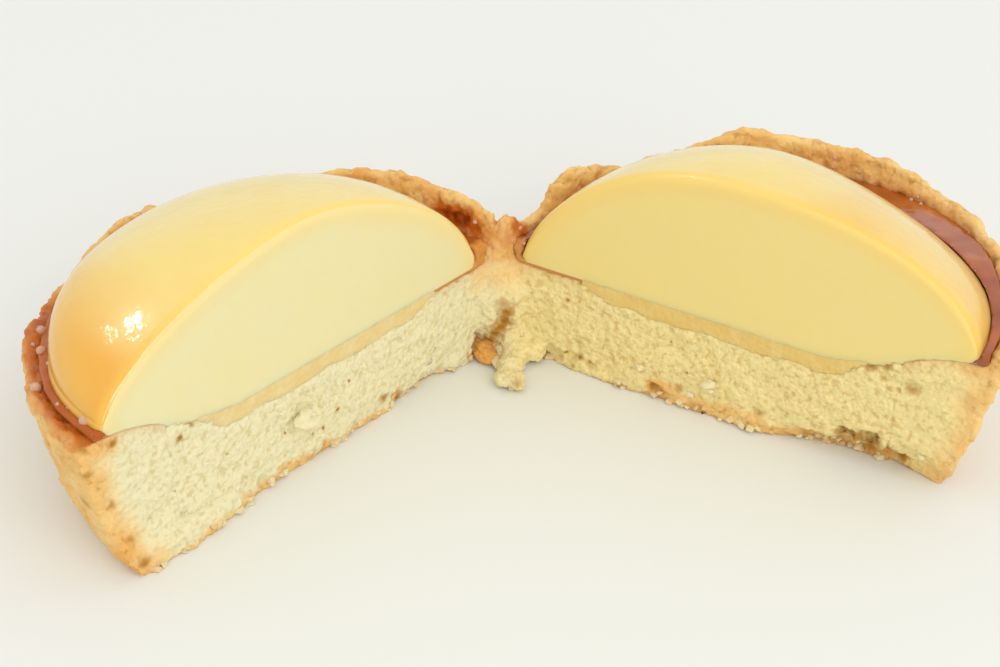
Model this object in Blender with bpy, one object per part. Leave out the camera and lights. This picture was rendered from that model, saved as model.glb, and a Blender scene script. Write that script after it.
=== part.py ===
"""Custard pudding tart, cut across its middle and opened like a book.

A thick shortcrust case holds a layer of sponge, a thin layer of custard and a dome of set
custard pudding with caramel round its edge.  The knife stopped short of the far wall, so
the two halves stand side by side and still hold together at the hinge.

Each half has its own frame: x runs along the cut, away from the hinge, y goes into the
half and z is up.  Every layer is a section that swings half a turn about the tart's middle.
Angles are taken about that middle, from 0 at the far end of the cut to 180 at the hinge.
"""

import math
from dataclasses import dataclass

import bmesh
import bpy
from mathutils import Matrix, Vector, noise

MM = 0.001
GAP = 0.3 * MM  # left between neighbouring layers

# The crust case
RIM_RADIUS = 38.0 * MM
BASE_RADIUS = 32.4 * MM
WALL_CURVE = 0.8  # power of the flare: under 1 the wall leans out soonest at its foot
FOOT_ROUNDING = 1.2 * MM
FLOOR_THICKNESS = 4.2 * MM
FLOOR_CORNER = 1.0 * MM  # slope where the floor meets the wall inside
FILLING_RADIUS = 24.5 * MM  # inner face of the wall, which is thickest at the floor
SHELF_RADIUS = 35.3 * MM  # where the sloping top of the wall meets the rim
RIM_WIDTH = 1.9 * MM
RIM_ROUNDING = 0.5 * MM
RIM_WAVE = 0.5 * MM
RIM_WAVE_SIZE = 0.4  # of the radius
RIM_CRAG_SIZE = 4.0 * MM
RIM_CRAG_DEPTH = 0.6 * MM
CRAG_SIZE = 7.0 * MM
CRAG_DEPTH = 0.8 * MM
CRUMB_SIZE = 2.8 * MM
CRUMB_DEPTH = 0.5 * MM
SMOOTH_FOOT = 2.0 * MM  # the wall's crags start above the foot
INNER_CRAGS = 0.3  # share of the outer crags on the inside of the rim
BITE_REACH = 8.0 * MM  # behind the cut, over which a bite or a foot fades out
HALVES_APART = 90.0 * MM  # between the spots where the two halves read their roughness

# The fillings
PUDDING_RADIUS = 34.1 * MM
PUDDING_TOP = 39.9 * MM
PUDDING_BASE = 17.3 * MM
UNDERSIDE_FLAT = 0.37  # share of the radius over which the underside is level
PUDDING_EDGE = 0.9 * MM  # from the underside up to the widest edge
PUDDING_BULGE = 0.3 * MM  # of that edge
EDGE_HEIGHT = 21.7 * MM  # of the widest edge, half way round
EDGE_TILT = 3.5 * MM  # the edge lies this much lower at the hinge, and higher at the far end
CUSTARD_REACH = 22.0 * MM
CUSTARD_SHIFT = 2.2 * MM  # the custard layer reaches further towards the hinge
CUSTARD_THICKNESS = 2.1 * MM
CUSTARD_RAGGED = 0.3
CUSTARD_RAG_SIZE = 6.0 * MM
CUSTARD_FULL = 0.8  # share of its reach over which it keeps its thickness
SPONGE_TUCK = 0.05  # the sponge's foot is this share narrower, clear of the floor's corner
CARAMEL_FILM = 0.65 * MM
CARAMEL_POCKET = 0.8 * MM
POCKET_RADIUS = 22.5 * MM
POCKET_WIDTH = 4.0 * MM
CARAMEL_FREEBOARD = 1.0 * MM  # from the pool up to the rim
POOL_DEPTH = 0.8 * MM  # at the least
POOL_CLEARANCE = 0.7 * MM  # between the pool's edge and the uneven rim
LEAST_POOL = 0.5 * MM  # the pool's width, at the least

# Steps round each half, and the columns of each section from the axis outwards
CRUST_STEPS = 40
FILLING_STEPS = 26
CRUST_COLUMNS = 20
FLOOR_COLUMNS = 6
WALL_COLUMN = 12
SHELF_COLUMN = 16
SPONGE_COLUMNS = 8
CUSTARD_COLUMNS = 6
PUDDING_COLUMNS = 10
CARAMEL_COLUMNS = 8
FILM_COLUMNS = 5
MERGE = 1e-5  # the sections are one unit across before each point is placed
SAME_PLACE = 1e-4

# The torn web at the hinge, in two lumps, and the crumbs at its foot.  Each is a centre and
# three radii in millimetres, with y pointing away from the opened cut.
HINGE_WEBS = 2
HINGE_LUMPS = (
    ((0.0, -0.9, 8.6), (4.7, 3.3, 7.6)),
    ((0.0, 0.2, 16.0), (2.5, 2.3, 6.2)),
    ((3.2, -4.4, 2.0), (2.6, 1.9, 1.9)),
    ((5.6, -4.3, 2.0), (1.9, 1.6, 1.7)),
    ((1.9, -7.3, 1.6), (2.0, 2.2, 1.6)),
    ((1.2, -10.3, 1.5), (1.8, 1.8, 1.5)),
    ((3.2, -11.2, 1.6), (1.6, 1.6, 1.6)),
)
LUMP_ROUGHNESS = 0.5 * MM
LUMP_CLEARANCE = 0.2 * MM  # under the crumbs, above what the tart stands on

CRUST_BROWN = (0.57, 0.29, 0.10)
SPONGE_YELLOW = (0.80, 0.70, 0.36)
CUSTARD_CREAM = (0.80, 0.62, 0.26)
PUDDING_YELLOW = (0.86, 0.68, 0.26)
CARAMEL_AMBER = (0.24, 0.04, 0.005)
SHARP_EDGE = math.radians(35)


def blend(low, high, value):
    """Rises smoothly from 0 at low to 1 at high."""
    part = min(max((value - low) / (high - low), 0.0), 1.0)
    return part * part * (3.0 - 2.0 * part)


def along(pairs, place):
    """Reads a line of (place, value) pairs at a place."""
    for (start, first), (end, last) in zip(pairs, pairs[1:]):
        if place <= end:
            return first + (last - first) * (place - start) / (end - start)
    return pairs[-1][1]


def rough(point, size):
    return noise.noise(Vector(point) / size)


def around(radius, angle):
    return radius * math.cos(angle), radius * math.sin(angle)


def waves(strengths, angle):
    """A sum of sine waves over half a turn, which is nothing at both ends of the cut."""
    return sum(strength * math.sin(n * angle) for n, strength in enumerate(strengths, start=1))


@dataclass
class Dome:
    """How one half of the pudding departs from a round one, as shares of its radius."""

    spread: tuple  # strengths of the waves in its edge
    hinge_reach: float  # how much further it reaches at the hinge
    fullness: float  # power of the dome's fall from the middle outwards
    rounding: tuple  # power of its fall at the edge, and how much more at the far end
    rounding_waves: tuple


class Half:
    """The sizes of one half, and the surfaces that its layers share."""

    def __init__(self, name, turn, side, dome, pool_rise, bulge, rim_heights, bites):
        self.name = name
        self.turn = math.radians(turn)
        self.side = side
        self.dome = dome
        self.pool_rise = pool_rise * MM
        self.bulge = bulge * MM
        self.rim_heights = rim_heights
        self.bites = bites

    def rim_height(self, angle):
        return along(self.rim_heights, math.degrees(angle)) * MM

    def edge_height(self, angle):
        return EDGE_HEIGHT + EDGE_TILT * math.cos(angle)

    def wall_radius(self, share, angle):
        """Outer radius of the case at a share of its height."""
        wave = RIM_WAVE * rough((*around(1.0, angle), self.side), RIM_WAVE_SIZE)
        flare = (RIM_RADIUS + wave - BASE_RADIUS) * share**WALL_CURVE
        return BASE_RADIUS + flare + self.bulge * math.cos(angle / 2) * math.sin(math.pi * share)

    def rim_inside(self, angle):
        near_the_top = 0.97
        return self.wall_radius(near_the_top, angle) - RIM_WIDTH

    def pudding_edge(self, angle):
        """Radius of the pudding's widest edge."""
        to_hinge = (1.0 - math.cos(angle)) / 2
        longer = self.dome.hinge_reach * to_hinge + waves(self.dome.spread, angle)
        return PUDDING_RADIUS * (1.0 + longer)

    def pudding_share(self, x, y):
        """0 at the pudding's middle and 1 at its edge."""
        return math.hypot(x, y) / self.pudding_edge(math.atan2(y, x))

    def dome_rounding(self, angle):
        """Power of the dome's fall: the smaller, the steeper the dome ends at its edge."""
        middle, to_far_end = self.dome.rounding
        return middle + to_far_end * math.cos(angle) + waves(self.dome.rounding_waves, angle)

    def pudding_underside(self, x, y):
        edge = self.edge_height(math.atan2(y, x)) - PUDDING_EDGE
        rise = blend(UNDERSIDE_FLAT, 1.0, self.pudding_share(x, y))
        return PUDDING_BASE + (edge - PUDDING_BASE) * rise

    def pudding_top(self, share, angle):
        edge = self.edge_height(angle)
        fall = (1.0 - share**self.dome.fullness) ** self.dome_rounding(angle)
        return edge + (PUDDING_TOP - edge) * fall

    def dome_share(self, z, angle):
        """The share of the pudding's radius at which its top has a height."""
        edge = self.edge_height(angle)
        up = max(0.0, (z - edge) / (PUDDING_TOP - edge))
        return (1.0 - up ** (1.0 / self.dome_rounding(angle))) ** (1.0 / self.dome.fullness)

    def custard_reach(self, angle):
        return CUSTARD_REACH - CUSTARD_SHIFT * math.cos(angle)

    def layer_thickness(self, x, y):
        """Thickness of the custard layer, and of the caramel film that carries on from it."""
        radius, angle = math.hypot(x, y), math.atan2(y, x)
        ragged = 1.0 + CUSTARD_RAGGED * rough((x, y, 0.0), CUSTARD_RAG_SIZE)
        thinning = 1.0 - blend(CUSTARD_FULL, 1.0, radius / self.custard_reach(angle))
        near_pocket = max(0.0, 1.0 - abs(radius - POCKET_RADIUS) / POCKET_WIDTH)
        pocket = CARAMEL_POCKET * near_pocket * max(0.0, math.cos(angle)) ** 2
        return CARAMEL_FILM + CUSTARD_THICKNESS * ragged * thinning + pocket

    def bed_height(self, x, y):
        """Top of the sponge and of the wall, on which custard layer and caramel lie."""
        return self.pudding_underside(x, y) - 2 * GAP - self.layer_thickness(x, y)

    def shelf_height(self, angle):
        return self.bed_height(*around(SHELF_RADIUS, angle))

    def pool_height(self, angle):
        full = self.edge_height(angle) + self.pool_rise
        filled = min(full, self.rim_height(angle) - CARAMEL_FREEBOARD)
        return max(filled, self.shelf_height(angle) + GAP + POOL_DEPTH)

    def bite_depth(self, x, z):
        """How far the cut face is broken away at a place, or sticks out where it is negative."""
        full_width, full_height = 0.6, 0.5  # shares of a bite that have its whole depth
        depth = 0.0
        for start, end, top, deep in self.bites:
            middle, reach = (start + end) / 2 * MM, (end - start) / 2 * MM
            near = 1.0 - blend(full_width, 1.0, abs(x - middle) / reach)
            low = 1.0 - blend(full_height * top * MM, top * MM, z)
            depth += deep * MM * near * low
        return depth


# Rim heights are pairs of an angle in degrees and a height in millimetres.  The caramel pool
# rises a number of millimetres above the pudding's widest edge.
# A bite out of the crust's foot at the cut is a start and an end from the tart's middle, a top
# and a depth, all in millimetres.  One with a negative depth is a foot that sticks out.
LEFT = Half(
    "left",
    turn=-132.1,
    side=-1,
    dome=Dome(
        spread=(-0.029, -0.003, 0.008, 0.010, 0.012),
        hinge_reach=-0.026,
        fullness=1.63,
        rounding=(0.654, 0.009),
        rounding_waves=(-0.271, -0.067, -0.079, -0.016),
    ),
    pool_rise=1.7,
    bulge=0.4,
    rim_heights=(
        (0, 23.7), (30, 23.6), (52, 23.3), (61, 22.7), (70, 21.6), (77, 23.8), (85, 25.2),
        (92, 25.5), (99, 23.8), (106, 22.8), (121, 23.2), (130, 25.4), (140, 26.4), (160, 26.4),
        (172, 25.9), (180, 24.6),
    ),
    bites=((-27.5, -18.5, 2.6, 1.8), (12.0, 42.0, 6.0, -2.2)),
)
RIGHT = Half(
    "right",
    turn=-28.6,
    side=1,
    dome=Dome(
        spread=(-0.0417, -0.0008, 0.0101, 0.0042, 0.0084),
        hinge_reach=0.003,
        fullness=2.26,
        rounding=(0.661, -0.065),
        rounding_waves=(0.184, 0.188, 0.047, -0.024),
    ),
    pool_rise=2.6,
    bulge=0.3,
    rim_heights=(
        (0, 26.0), (20, 27.4), (41, 28.3), (62, 28.3), (72, 29.3), (84, 29.0), (99, 29.0),
        (112, 29.3), (121, 26.6), (139, 23.5), (147, 24.2), (157, 26.2),
        (161, 25.8), (165, 20.4), (172, 20.2), (180, 21.2),
    ),
    bites=((8.0, 29.0, 5.2, 3.6), (24.0, 42.0, 5.0, 2.2), (-33.0, -27.5, 2.2, 1.5)),
)


def material(name, colour, roughness):
    made = bpy.data.materials.new(name)
    made.use_nodes = True
    shader = made.node_tree.nodes["Principled BSDF"]
    shader.inputs["Base Color"].default_value = (*colour, 1.0)
    shader.inputs["Roughness"].default_value = roughness
    shader.inputs["Metallic"].default_value = 0.0
    return made


def cut_crumbs(half, x, z):
    """Crumbs on a cut face of crust or sponge, none on the axis where all steps meet."""
    away_from_axis = blend(2 * MM, 8 * MM, abs(x))
    spot = (x, CRAG_SIZE * half.side, z)
    return CRUMB_DEPTH * rough(spot, CRUMB_SIZE) * away_from_axis


def swung_body(name, half, columns, rows, steps, place, flat=(), start=0.0):
    """A closed half body: a flat grid of columns by rows that swings half a turn.

    place(column, angle, row) gives each point of the finished body in the half's frame, with
    row from 0 to 1.  flat holds a (row, last column) pair for each stretch that stays level.
    With start at 0 the first column is on the axis, and the body is whole there.
    """
    body = bmesh.new()
    bmesh.ops.create_grid(body, x_segments=columns, y_segments=rows, size=0.5)
    upright = Matrix.Rotation(math.pi / 2, 4, "X") @ Matrix.Translation((0.5 + start, 0.5, 0.0))
    bmesh.ops.transform(body, matrix=upright, verts=body.verts)
    bmesh.ops.spin(
        body,
        geom=body.verts[:] + body.edges[:] + body.faces[:],
        axis=(0, 0, 1),
        angle=math.pi,
        steps=steps,
    )
    bmesh.ops.remove_doubles(body, verts=body.verts, dist=MERGE)

    def level(face, row, last):
        return all(
            abs(vert.co.z - row) < SAME_PLACE
            and vert.co.to_2d().length < last / columns + SAME_PLACE
            for vert in face.verts
        )

    for row, last in flat:
        faces = [face for face in body.faces if level(face, row, last)]
        bmesh.ops.dissolve_faces(body, faces=faces, use_verts=True)

    crumbly = name.startswith(("crust", "sponge"))
    for vert in body.verts:
        angle = math.atan2(abs(vert.co.y), vert.co.x)
        at_cut = abs(vert.co.y) < SAME_PLACE
        x, y, z = place(columns * (vert.co.to_2d().length - start), angle, vert.co.z)
        if at_cut:
            y = cut_crumbs(half, x, z) if crumbly else 0.0
        y += half.bite_depth(x, z) * (1.0 - blend(0.0, BITE_REACH, y))
        vert.co = (x + RIM_RADIUS, half.side * y, z)
    bmesh.ops.recalc_face_normals(body, faces=body.faces)
    if body.calc_volume(signed=True) < 0:
        bmesh.ops.reverse_faces(body, faces=body.faces)
    mesh = bpy.data.meshes.new(name)
    body.to_mesh(mesh)
    body.free()
    made = bpy.data.objects.new(name, mesh)
    made.rotation_euler.z = half.turn
    return made


def crust_case(half):
    """Floor, wall and rim of one half: the row runs from the outside, 0, to the inside, 1."""
    below_shelf = 0.8 * MM
    shelf_limit, wall_share, foot_share, rim_share = 0.86, 0.72, 0.06, 0.97

    def outside(column, angle):
        if column <= FLOOR_COLUMNS:
            return (BASE_RADIUS - FOOT_ROUNDING) * column / FLOOR_COLUMNS, 0.0
        height = half.rim_height(angle)
        shelf = min(half.shelf_height(angle) - below_shelf, shelf_limit * height)
        heights = (
            (FLOOR_COLUMNS, 0.0),
            (FLOOR_COLUMNS + 1, foot_share * shelf),
            (WALL_COLUMN, wall_share * shelf),
            (SHELF_COLUMN, shelf),
            (CRUST_COLUMNS, rim_share * height),
        )
        z = along(heights, column)
        return half.wall_radius(z / height, angle), z

    def inside(column, angle):
        floor_edge = FLOOR_COLUMNS + 1
        if column <= floor_edge:
            edges = (
                (0, 0.0),
                (FLOOR_COLUMNS, FILLING_RADIUS - FLOOR_CORNER),
                (floor_edge, FILLING_RADIUS),
            )
            corner = max(0.0, column - FLOOR_COLUMNS)
            return along(edges, column), FLOOR_THICKNESS + FLOOR_CORNER * corner
        slope = max(0.0, (column - WALL_COLUMN) / (SHELF_COLUMN - WALL_COLUMN))
        radius = FILLING_RADIUS + (SHELF_RADIUS - FILLING_RADIUS) * min(1.0, slope)
        bed = half.bed_height(*around(radius, angle))
        if column <= SHELF_COLUMN:
            low = FLOOR_THICKNESS + FLOOR_CORNER
            wall = min(1.0, (column - floor_edge) / (WALL_COLUMN - floor_edge))
            return radius, low + (bed - low) * wall
        up = (column - SHELF_COLUMN) / (CRUST_COLUMNS - SHELF_COLUMN)
        rim_top = half.rim_height(angle) - RIM_ROUNDING
        radius += (half.rim_inside(angle) - SHELF_RADIUS) * up
        return radius, bed + (rim_top - bed) * up

    def place(column, angle, row):
        (outer, low), (inner, high) = outside(column, angle), inside(column, angle)
        radius, z = outer + (inner - outer) * row, low + (high - low) * row
        at_rim = blend(SHELF_COLUMN, CRUST_COLUMNS, column)
        x, y = around(outer, angle)
        spot = (x, y + HALVES_APART * half.side, low)
        crag = CRAG_DEPTH * rough(spot, CRAG_SIZE) + CRUMB_DEPTH * rough(spot, CRUMB_SIZE)
        above_foot = blend(0.0, SMOOTH_FOOT, low)
        radius += crag * above_foot * ((1.0 - row) + INNER_CRAGS * row * at_rim)
        rounded = RIM_ROUNDING * math.sin(math.pi * row)
        z += at_rim * (rounded + RIM_CRAG_DEPTH * rough(spot, RIM_CRAG_SIZE))
        return *around(radius, angle), z

    flat = ((0.0, FLOOR_COLUMNS), (1.0, FLOOR_COLUMNS))
    return swung_body("crust_" + half.name, half, CRUST_COLUMNS, 3, CRUST_STEPS, place, flat)


def custard_radius(half, column, angle):
    """Radius of a column of the custard layer, which the sponge below it shares."""
    return (half.custard_reach(angle) - GAP / 2) * column / CUSTARD_COLUMNS


def sponge(half):
    bottom = FLOOR_THICKNESS + GAP
    foot_share = 0.25

    def place(column, angle, row):
        radius = custard_radius(half, min(column, CUSTARD_COLUMNS), angle)
        beyond = max(0.0, column - CUSTARD_COLUMNS) / (SPONGE_COLUMNS - CUSTARD_COLUMNS)
        radius += (FILLING_RADIUS - GAP - radius) * beyond
        bed = half.bed_height(*around(radius, angle))
        tuck = 1.0 - SPONGE_TUCK * beyond * (1.0 - blend(0.0, foot_share, row))
        return *around(radius * tuck, angle), bottom + (bed - bottom) * row

    flat = ((0.0, SPONGE_COLUMNS),)
    return swung_body("sponge_" + half.name, half, SPONGE_COLUMNS, 4, FILLING_STEPS, place, flat)


def custard_layer(half):
    def place(column, angle, row):
        x, y = around(custard_radius(half, column, angle), angle)
        bottom, top = half.bed_height(x, y) + GAP, half.pudding_underside(x, y) - GAP
        return x, y, bottom + (top - bottom) * row

    name = "custard_layer_" + half.name
    return swung_body(name, half, CUSTARD_COLUMNS, 1, FILLING_STEPS, place)


def pudding(half):
    edge_share = 0.9

    def place(column, angle, row):
        share = math.sin(math.pi / 2 * column / PUDDING_COLUMNS)
        x, y = around(share * half.pudding_edge(angle), angle)
        bottom, top = half.pudding_underside(x, y), half.pudding_top(share, angle)
        bulge = PUDDING_BULGE * math.sin(math.pi * row) * blend(edge_share, 1.0, share)
        out_x, out_y = around(bulge, angle)
        return x + out_x, y + out_y, bottom + (top - bottom) * row

    return swung_body("pudding_" + half.name, half, PUDDING_COLUMNS, 2, FILLING_STEPS, place)


def caramel(half):
    """A film under the pudding's edge, and the pool between that edge and the rim."""
    film_end_share = 0.985
    pool_foot = SHELF_RADIUS - 0.1 * MM
    above_film = 1.6 * GAP
    pool_columns = CARAMEL_COLUMNS - FILM_COLUMNS

    def under(column, angle):
        start = half.custard_reach(angle) + GAP / 2
        radius = start + (PUDDING_RADIUS - start) * min(1.0, column / FILM_COLUMNS)
        if column > FILM_COLUMNS:
            radius = pool_foot
        x, y = around(radius, angle)
        z = half.bed_height(x, y) + GAP
        rise = max(0.0, column - FILM_COLUMNS - 1) / (pool_columns - 1)
        dome = half.pudding_edge(angle) * half.dome_share(half.pool_height(angle), angle)
        pool_edge = max(half.rim_inside(angle) - POOL_CLEARANCE, dome + 2 * GAP + LEAST_POOL)
        widen = 1.0 + (pool_edge - radius) / radius * rise
        return x * widen, y * widen, z + (half.pool_height(angle) - z) * rise

    def over(column, angle):
        start = half.custard_reach(angle) + GAP / 2
        share = min(1.0, column / FILM_COLUMNS)
        edge = half.pudding_edge(angle)
        x, y = around(start + (film_end_share * edge - start) * share, angle)
        bottom = half.pudding_underside(x, y)
        z = bottom - above_film
        if column > FILM_COLUMNS:
            heights = ((FILM_COLUMNS + 1, bottom), (CARAMEL_COLUMNS, half.pool_height(angle)))
            z = along(heights, column)
            x, y = around(edge * half.dome_share(z, angle) + 2 * GAP, angle)
        return x, y, z

    def place(column, angle, row):
        return Vector(under(column, angle)).lerp(over(column, angle), row)

    name = "caramel_" + half.name
    return swung_body(name, half, CARAMEL_COLUMNS, 1, FILLING_STEPS, place, start=1.0)


def hinge_lump(index, centre, radii):
    lump = bmesh.new()
    fineness = 3 if index < HINGE_WEBS else 2
    bmesh.ops.create_icosphere(lump, subdivisions=fineness, radius=1.0)
    for vert in lump.verts:
        point = Vector([axis * reach * MM for axis, reach in zip(vert.co, radii)])
        point += Vector(centre) * MM
        point += vert.co * LUMP_ROUGHNESS * rough(point, CRUMB_SIZE)
        point.z = max(point.z, LUMP_CLEARANCE)
        vert.co = point
    mesh = bpy.data.meshes.new("hinge_lump")
    lump.to_mesh(mesh)
    lump.free()
    return bpy.data.objects.new("hinge_lump", mesh)


def crust(collection):
    """Both halves of the case, joined by the torn web at the hinge."""
    joined = crust_case(LEFT)
    collection.objects.link(joined)
    pieces = bpy.data.collections.new("crust_pieces")
    bpy.context.scene.collection.children.link(pieces)
    pieces.objects.link(crust_case(RIGHT))
    for index, (centre, radii) in enumerate(HINGE_LUMPS):
        pieces.objects.link(hinge_lump(index, centre, radii))

    union = joined.modifiers.new("join", "BOOLEAN")
    union.operation = "UNION"
    union.operand_type = "COLLECTION"
    union.collection = pieces
    union.solver = "EXACT"
    bpy.context.view_layer.objects.active = joined
    bpy.context.view_layer.update()
    bpy.ops.object.modifier_apply(modifier=union.name)
    for piece in list(pieces.objects):
        bpy.data.objects.remove(piece)
    bpy.data.collections.remove(pieces)
    joined.data.transform(joined.matrix_basis)
    joined.matrix_basis = Matrix()
    joined.name = joined.data.name = "crust"
    return joined


def centre_on_base(parts, root):
    """Moves the root so that the middle of the base of the whole tart is at the origin."""
    bpy.context.view_layer.update()
    corners = [part.matrix_world @ vert.co for part in parts for vert in part.data.vertices]
    lowest = [min(corner[axis] for corner in corners) for axis in range(3)]
    highest = [max(corner[axis] for corner in corners) for axis in range(3)]
    root.location = (-(lowest[0] + highest[0]) / 2, -(lowest[1] + highest[1]) / 2, -lowest[2])
    bpy.context.view_layer.update()


def main():
    for old in list(bpy.data.objects):
        bpy.data.objects.remove(old)
    tart = bpy.data.collections.new("custard_tart")
    bpy.context.scene.collection.children.link(tart)
    root = bpy.data.objects.new("tart_middle", None)
    tart.objects.link(root)

    finishes = {
        sponge: material("almond sponge", SPONGE_YELLOW, 0.9),
        custard_layer: material("baked custard", CUSTARD_CREAM, 0.6),
        pudding: material("set custard pudding", PUDDING_YELLOW, 0.3),
        caramel: material("burnt sugar caramel", CARAMEL_AMBER, 0.1),
    }
    whole = crust(tart)
    whole.data.materials.append(material("baked shortcrust", CRUST_BROWN, 0.85))
    parts = [whole]
    for make, finish in finishes.items():
        for half in (LEFT, RIGHT):
            part = make(half)
            part.data.materials.append(finish)
            tart.objects.link(part)
            parts.append(part)
    for part in parts:
        part.parent = root
        part.data.shade_smooth()
        part.data.set_sharp_from_angle(angle=SHARP_EDGE)
    centre_on_base(parts, root)


main()
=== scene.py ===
"""Custard pudding tart, cut across its middle and opened like a book: its looks.

The packed solids give every place and size.  Each layer is made again here with the surface
that the real one has: open crumb where the knife or a tear opened it, a sandy baked skin, a
glazed dome of set custard, and burnt sugar caramel with small bubbles along its edge.

Each half has its own frame: x runs along the cut from the tart's middle to the far end, y goes
into the half and z is up.  Lengths are in metres, and pixels are those of a 1000 x 667 view.
"""

import math
import random
from contextlib import contextmanager

import bmesh
import bpy
import numpy as np
from bpy.props import FloatProperty, FloatVectorProperty, IntProperty, PointerProperty
from mathutils import Matrix, Vector, kdtree, noise


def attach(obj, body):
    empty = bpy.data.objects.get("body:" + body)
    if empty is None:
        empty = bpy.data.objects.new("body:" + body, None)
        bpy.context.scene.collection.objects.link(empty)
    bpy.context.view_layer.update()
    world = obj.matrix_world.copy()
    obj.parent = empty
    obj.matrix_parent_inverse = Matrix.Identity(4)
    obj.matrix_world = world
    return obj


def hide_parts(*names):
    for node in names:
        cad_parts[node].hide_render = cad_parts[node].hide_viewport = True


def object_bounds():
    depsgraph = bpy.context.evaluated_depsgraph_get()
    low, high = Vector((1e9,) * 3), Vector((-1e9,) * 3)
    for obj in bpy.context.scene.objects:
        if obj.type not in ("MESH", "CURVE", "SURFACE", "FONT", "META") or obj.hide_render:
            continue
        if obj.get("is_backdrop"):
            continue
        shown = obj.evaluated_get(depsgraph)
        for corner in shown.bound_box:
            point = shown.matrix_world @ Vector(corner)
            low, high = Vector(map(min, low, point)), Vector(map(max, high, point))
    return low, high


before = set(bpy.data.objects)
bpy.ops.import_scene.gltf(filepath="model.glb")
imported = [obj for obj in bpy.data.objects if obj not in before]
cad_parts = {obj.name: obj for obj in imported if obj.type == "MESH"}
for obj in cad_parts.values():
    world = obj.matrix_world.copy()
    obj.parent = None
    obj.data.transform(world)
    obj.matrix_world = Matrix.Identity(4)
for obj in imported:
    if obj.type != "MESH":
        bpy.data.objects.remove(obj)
CAD_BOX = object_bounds()

bl_info = {
    "name": "Custard Pudding Tart",
    "version": (1, 0, 0),
    "blender": (4, 5, 0),
    "location": "3D View > Sidebar > Tart",
    "description": "Makes the surfaces of a cut and opened custard pudding tart",
    "category": "Object",
}

MM = 0.001
BODY = "root"

# The tart's driving sizes, which the solids share
HINGE = Vector((-4.138, 18.404)) * MM
OPENING = Vector((0.168, -0.986))  # from the hinge into the gap between the halves
RIM_RADIUS = 38.0 * MM
SHELF_RADIUS = 35.3 * MM
PUDDING_RADIUS = 34.1 * MM
PUDDING_TOP = 39.9 * MM
PUDDING_BASE = 17.3 * MM
UNDERSIDE_FLAT = 0.37
PUDDING_EDGE = 0.9 * MM
PUDDING_BULGE = 0.3 * MM
EDGE_HEIGHT = 21.7 * MM
EDGE_TILT = 3.5 * MM
LAYER_GAP = 0.3 * MM  # between the solids of neighbouring layers, closed here

# The view
VIEW_WIDTH, VIEW_HEIGHT = 1000, 667
FOCAL_PIXELS = 1817.6
SENSOR = 36.0  # millimetres
CAMERA_PLACE = HINGE.to_3d() + Vector((-0.67, -227.89, 165.28)) * MM
CAMERA_YAW, CAMERA_PITCH, CAMERA_ROLL = -0.005, 0.621, 0.023


def linear(hex_colour):
    """The linear red, green, blue and alpha of an sRGB hex colour."""
    values = [int(hex_colour[start : start + 2], 16) / 255 for start in (1, 3, 5)]
    return (*(v / 12.92 if v <= 0.04045 else ((v + 0.055) / 1.055) ** 2.4 for v in values), 1.0)


def smooth(low, high, value):
    """Rises smoothly from 0 at low to 1 at high."""
    part = np.clip((value - low) / (high - low), 0.0, 1.0)
    return part * part * (3.0 - 2.0 * part)


def rise(low, high, length):
    """Rises smoothly from 0 to 1 between two lengths, which are given in millimetres."""
    return smooth(low * MM, high * MM, length)


def fall(low, high, length):
    """Falls smoothly from 1 to 0 between two lengths, which are given in millimetres."""
    return 1.0 - rise(low, high, length)


def per_metre(millimetres):
    """Scale of a noise texture whose features are this far apart."""
    return 1.0 / (millimetres * MM)


def waves(strengths, angle):
    """Sum of sine waves round a half, one wave more for each strength."""
    return sum(strength * np.sin(n * angle) for n, strength in enumerate(strengths, start=1))


class Half:
    """Where one half of the tart stands, and the surfaces of its pudding."""

    def __init__(self, name, turn, side, spread, hinge_reach, fullness, rounding, rounding_waves):
        self.name = name
        self.spread, self.hinge_reach, self.fullness = spread, hinge_reach, fullness
        self.rounding, self.rounding_waves = rounding, rounding_waves
        turn = math.radians(turn)
        self.along = Vector((math.cos(turn), math.sin(turn)))
        self.into = side * Vector((-math.sin(turn), math.cos(turn)))

    def own(self, points):
        """Points of the row frame in the half's frame."""
        flat = points[:, :2] - np.array(HINGE)
        x = flat @ np.array(self.along) - RIM_RADIUS
        return np.stack([x, flat @ np.array(self.into), points[:, 2]], axis=1)

    def world(self, points):
        """Points of the half's frame in the row frame."""
        x = (points[:, 0] + RIM_RADIUS)[:, None]
        flat = np.array(HINGE) + x * np.array(self.along) + points[:, 1:2] * np.array(self.into)
        return np.concatenate([flat, points[:, 2:3]], axis=1)

    def pudding_edge(self, angle):
        to_hinge = (1.0 - np.cos(angle)) / 2
        return PUDDING_RADIUS * (1.0 + self.hinge_reach * to_hinge + waves(self.spread, angle))

    def edge_height(self, angle):
        return EDGE_HEIGHT + EDGE_TILT * np.cos(angle)

    def pudding_top(self, share, angle):
        edge = self.edge_height(angle)
        middle, to_far_end = self.rounding
        rounding = middle + to_far_end * np.cos(angle) + waves(self.rounding_waves, angle)
        fall = np.clip(1.0 - share**self.fullness, 0.0, 1.0) ** rounding
        return edge + (PUDDING_TOP - edge) * fall

    def pudding_underside(self, share, angle):
        edge = self.edge_height(angle) - PUDDING_EDGE
        return PUDDING_BASE + (edge - PUDDING_BASE) * smooth(UNDERSIDE_FLAT, 1.0, share)


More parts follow.
